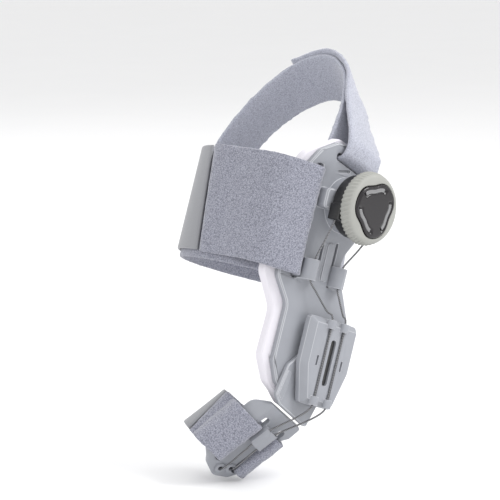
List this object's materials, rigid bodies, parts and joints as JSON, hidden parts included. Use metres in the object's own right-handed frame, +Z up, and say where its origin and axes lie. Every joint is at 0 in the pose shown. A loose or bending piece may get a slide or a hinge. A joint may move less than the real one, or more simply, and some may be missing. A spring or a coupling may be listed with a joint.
{
  "type": "bunion corrector",
  "caption": "Hinged side splint for the big toe with a padded plate, a dial that winds two steel cables, and hook-and-loop straps for the instep, heel and toe.",
  "frame": {"origin": "on the axis of the toe hinge, at the skin face of the foam pad", "axes": "+X from the back of the foot towards its sole, +Y from the splint into the foot, +Z up the foot from the toes to the heel"},
  "size_m": [0.1112, 0.1076, 0.1914],
  "materials": {
    "grey_plastic": "satin moulded grey",
    "dark_plastic": "satin black",
    "black_gloss": "gloss",
    "grey_gloss": "gloss",
    "ring_rubber": "ribbed matte",
    "pad_foam": "soft matte",
    "loop_fabric": "brushed loop pile",
    "hook_tab": "smooth woven",
    "steel": "stranded steel"
  },
  "bodies": {
    "brace": {"main_plate": "grey_plastic", "foam_pad": "pad_foam", "cover_plate": "grey_plastic", "slot_insert": "dark_plastic", "dial_base": "dark_plastic", "instep_strap": "loop_fabric", "instep_hook_tab": "hook_tab", "heel_strap": "loop_fabric", "cable_left_upper": "steel", "cable_right_upper": "steel"},
    "toe_arm": {"toe_arm": "grey_plastic", "cable_left_span": "steel", "cable_right_span": "steel"},
    "toe_splint": {"toe_plate": "grey_plastic", "toe_strap": "loop_fabric", "toe_hook_tab": "hook_tab", "cable_left_toe": "steel", "cable_right_toe": "steel"},
    "dial_shaft": {"dial_shaft": "steel"},
    "dial": {"dial_ring": "ring_rubber", "dial_heart": "grey_gloss", "dial_cap": "black_gloss"}
  },
  "joints": [
    {"name": "toe_flex", "type": "hinge", "parent": "brace", "child": "toe_arm", "pos_m": [0, -0.0094, 0], "axis": [0, 1, 0], "range_deg": [-25, 20], "deforming": ["cable_left_span", "cable_right_span"]},
    {"name": "toe_spread", "type": "hinge", "parent": "toe_arm", "child": "toe_splint", "pos_m": [-0.02456, -0.0099, -0.01338], "axis": [-0.7804, 0, 0.6252], "range_deg": [-2, 30], "deforming": ["cable_left_span", "cable_right_span"]},
    {"name": "dial_lift", "type": "slide", "parent": "brace", "child": "dial_shaft", "axis": [0, -1, 0], "range_m": [0, 0.0025]},
    {"name": "dial_turn", "type": "hinge", "parent": "dial_shaft", "child": "dial", "pos_m": [0.01941, -0.022, 0.07267], "axis": [0, -1, 0], "continuous": true}
  ]
}
